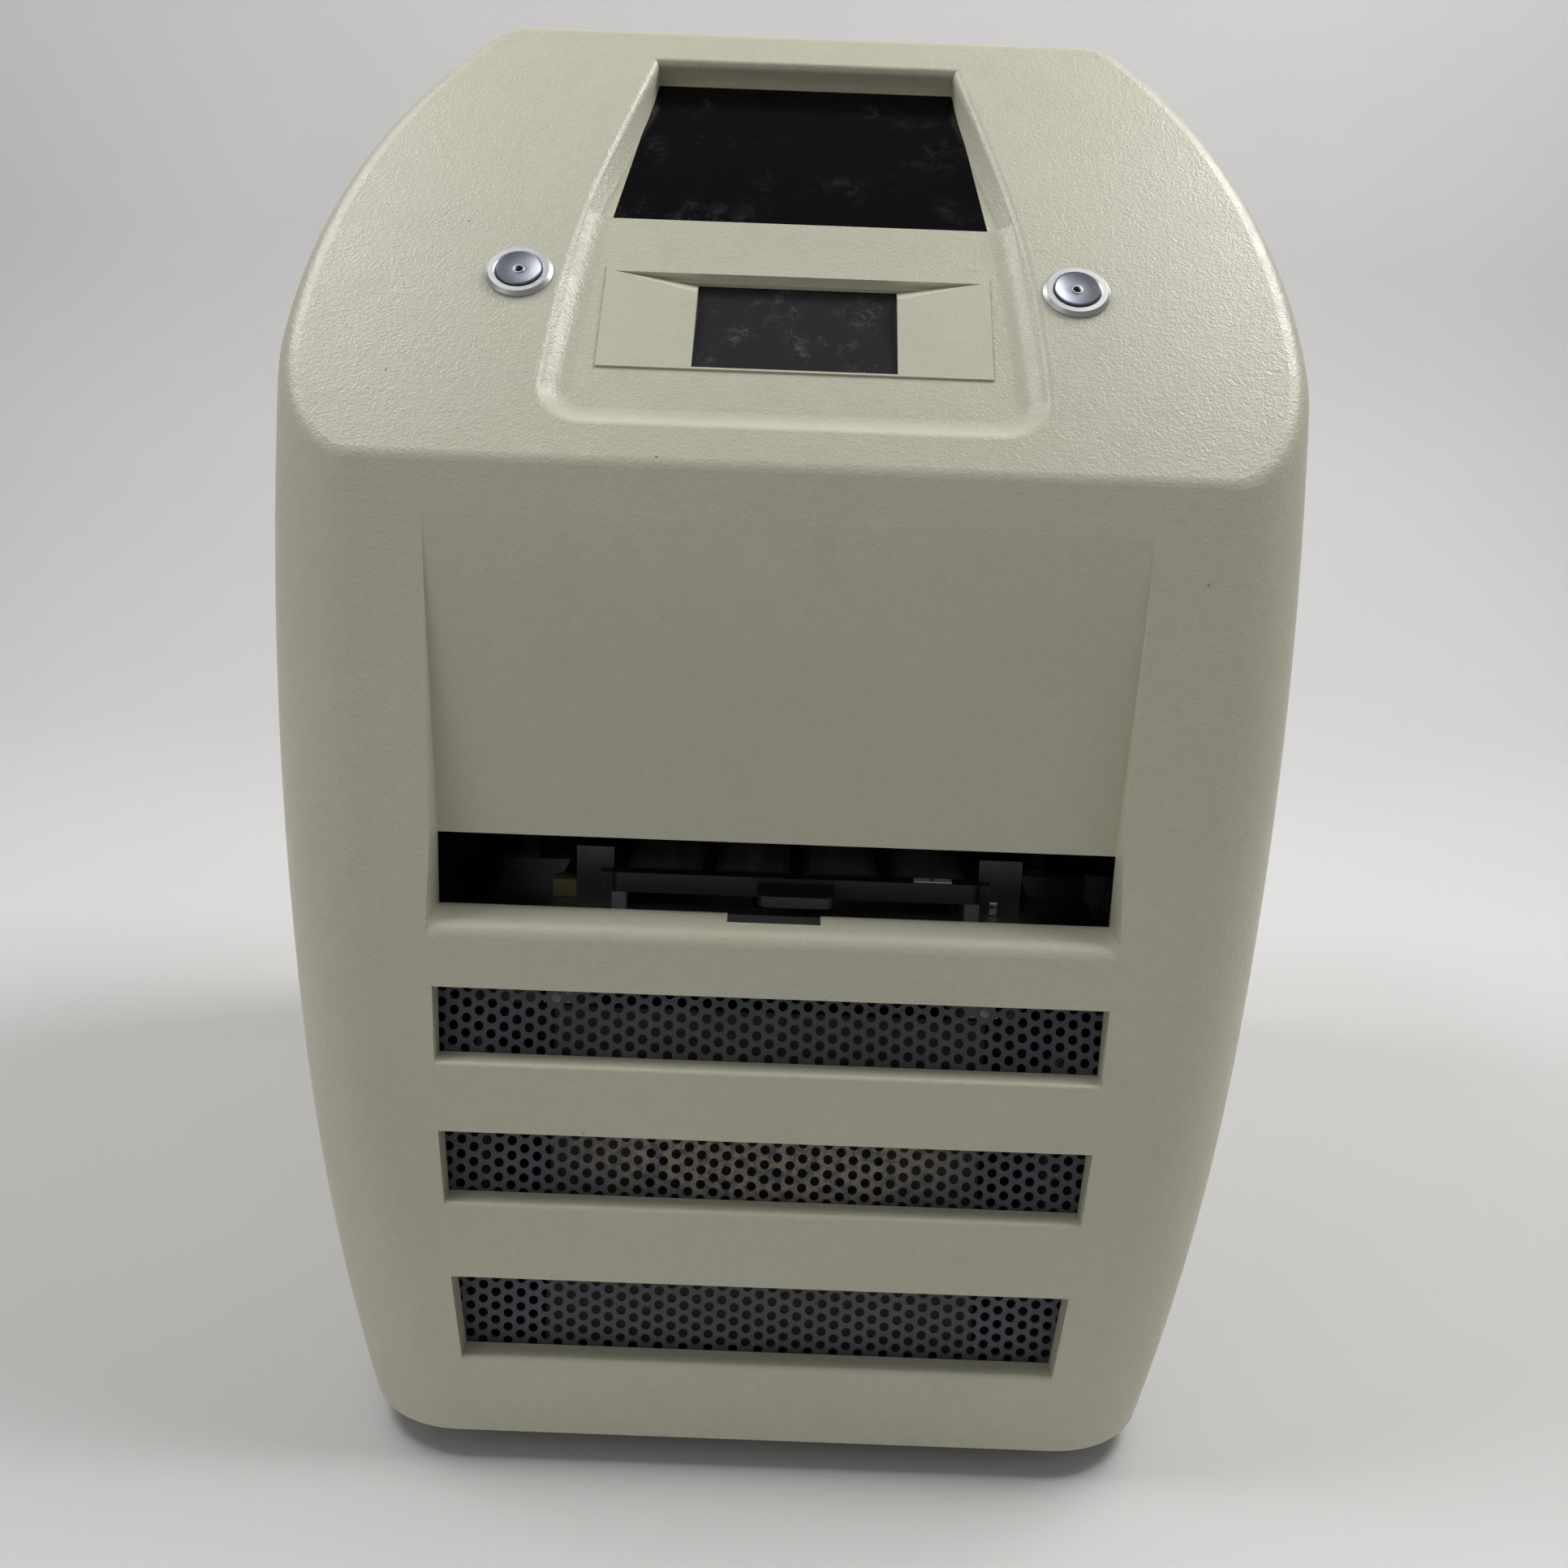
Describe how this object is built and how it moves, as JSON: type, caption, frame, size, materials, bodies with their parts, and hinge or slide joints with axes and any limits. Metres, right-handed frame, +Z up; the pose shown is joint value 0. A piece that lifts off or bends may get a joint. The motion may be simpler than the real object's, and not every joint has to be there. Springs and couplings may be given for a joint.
{
  "type": "digital slide scanner",
  "caption": "Benchtop scanner for glass microscope slides: two-part moulded cover, pull-out slide tray, two-axis stage, focusing objective, camera, display well and air vents.",
  "frame": {"origin": "centre of the footprint box on the plane the rubber feet stand on", "axes": "+X to the right seen from the front, +Y to the rear, +Z up; the tray slot faces -Y"},
  "size_m": [0.355, 0.41, 0.48],
  "materials": {
    "cover_shell": "fine textured moulding",
    "seal": "soft extruded strip",
    "screen_steel": "dark coated perforated sheet",
    "smoked_window": "dark tinted acrylic, polished",
    "bezel_plastic": "satin moulding",
    "display_glass": "dark tinted, polished",
    "circuit_board": "solder-masked board",
    "plate_steel": "zinc-plated sheet",
    "foot_rubber": "matt",
    "fixings": "bright plated",
    "bench_casting": "black anodised, fine grain",
    "rail_steel": "ground",
    "screw_steel": "rolled and polished",
    "bearing_alloy": "machined",
    "motor_black": "black with bright end bells",
    "stage_alloy": "bead-blasted, clear anodised",
    "guide_steel": "satin",
    "tray_metal": "grey anodised",
    "slide_glass": "clear, ground edges",
    "label_white": "satin",
    "lamp_alloy": "black anodised fins",
    "lens_barrel": "black anodised, knurled bands",
    "button_steel": "satin stainless",
    "supply_case": "plated cage",
    "filter_frame": "olive-brown moulding",
    "foam": "open-cell foam",
    "panel_metal": "satin",
    "fan_plastic": "glass-filled",
    "connector_black": "moulded"
  },
  "bodies": {
    "root": {"front_cover": "cover_shell", "rear_cover": "cover_shell", "cover_seal": "seal", "perforated_screen": "screen_steel", "viewing_window": "smoked_window", "display_bezel": "bezel_plastic", "display_glass": "display_glass", "display_module": "circuit_board", "base_plate": "plate_steel", "foot_screws": "fixings", "front_left_foot": "foot_rubber", "front_right_foot": "foot_rubber", "rear_left_foot": "foot_rubber", "rear_right_foot": "foot_rubber", "bench_posts": "bearing_alloy", "optical_bench": "bench_casting", "y_rails": "rail_steel", "y_screw_bearings": "bearing_alloy", "y_motor": "motor_black", "lamp_housing": "lamp_alloy", "condenser": "lens_barrel", "optics_column": "bench_casting", "focus_rail": "rail_steel", "focus_actuator": "motor_black", "tube_clamp": "bearing_alloy", "tube_lens": "lens_barrel", "camera": "lens_barrel", "power_supply": "supply_case", "board_standoffs": "fixings", "controller_board": "circuit_board", "filter_frame": "filter_frame", "filter_foam": "foam", "rear_panel": "panel_metal", "rear_panel_screws": "fixings", "fan_frame": "fan_plastic", "fan_guard": "fixings", "power_inlet": "connector_black", "switch_frame": "connector_black", "data_port": "connector_black", "left_button_housing": "button_steel", "right_button_housing": "button_steel", "button_nuts": "fixings"},
    "y_screw": {"y_lead_screw": "screw_steel"},
    "y_carriage": {"y_carriage": "stage_alloy", "x_rails": "rail_steel", "x_screw_bearings": "bearing_alloy", "x_motor": "motor_black"},
    "x_screw": {"x_lead_screw": "screw_steel"},
    "x_slide": {"x_slide": "stage_alloy", "tray_guides": "guide_steel"},
    "tray": {"slide_tray": "tray_metal", "glass_slides": "slide_glass", "tray_label": "label_white"},
    "focus": {"focus_slide": "stage_alloy", "objective": "lens_barrel"},
    "left_button": {"left_button_cap": "button_steel"},
    "right_button": {"right_button_cap": "button_steel"},
    "fan": {"fan_rotor": "fan_plastic"},
    "rocker": {"power_rocker": "connector_black"}
  },
  "joints": [
    {"name": "y_stage", "type": "slide", "parent": "root", "child": "y_carriage", "axis": [0, 1, 0], "range_m": [0, 0.105]},
    {"name": "x_stage", "type": "slide", "parent": "y_carriage", "child": "x_slide", "axis": [1, 0, 0], "range_m": [-0.052, 0.052]},
    {"name": "tray_out", "type": "slide", "parent": "x_slide", "child": "tray", "axis": [0, -1, 0], "range_m": [0, 0.085]},
    {"name": "y_screw_spin", "type": "hinge", "parent": "root", "child": "y_screw", "pos_m": [-0.098, 0, 0.1345], "axis": [0, 1, 0], "range_deg": [0, 3790]},
    {"name": "x_screw_spin", "type": "hinge", "parent": "y_carriage", "child": "x_screw", "pos_m": [0.007, -0.008, 0.163], "axis": [1, 0, 0], "range_deg": [-1880, 1880]},
    {"name": "focus", "type": "slide", "parent": "root", "child": "focus", "axis": [0, 0, 1], "range_m": [-0.001, 0.004]},
    {"name": "left_button", "type": "slide", "parent": "root", "child": "left_button", "axis": [0, 0.7134, -0.7008], "range_m": [0, 0.002], "stiffness_N_per_m": 400},
    {"name": "right_button", "type": "slide", "parent": "root", "child": "right_button", "axis": [0, 0.7134, -0.7008], "range_m": [0, 0.002], "stiffness_N_per_m": 400},
    {"name": "fan_spin", "type": "hinge", "parent": "root", "child": "fan", "pos_m": [0.058, 0.188, 0.122], "axis": [0, 1, 0], "continuous": true},
    {"name": "power_rocker", "type": "hinge", "parent": "root", "child": "rocker", "pos_m": [-0.07, 0.196, 0.108], "axis": [1, 0, 0], "range_deg": [-16, 0]}
  ],
  "couplings": [
    {"joint": "y_screw_spin", "follows": "y_stage", "rad_per_m": 628.32},
    {"joint": "x_screw_spin", "follows": "x_stage", "rad_per_m": 628.32}
  ]
}
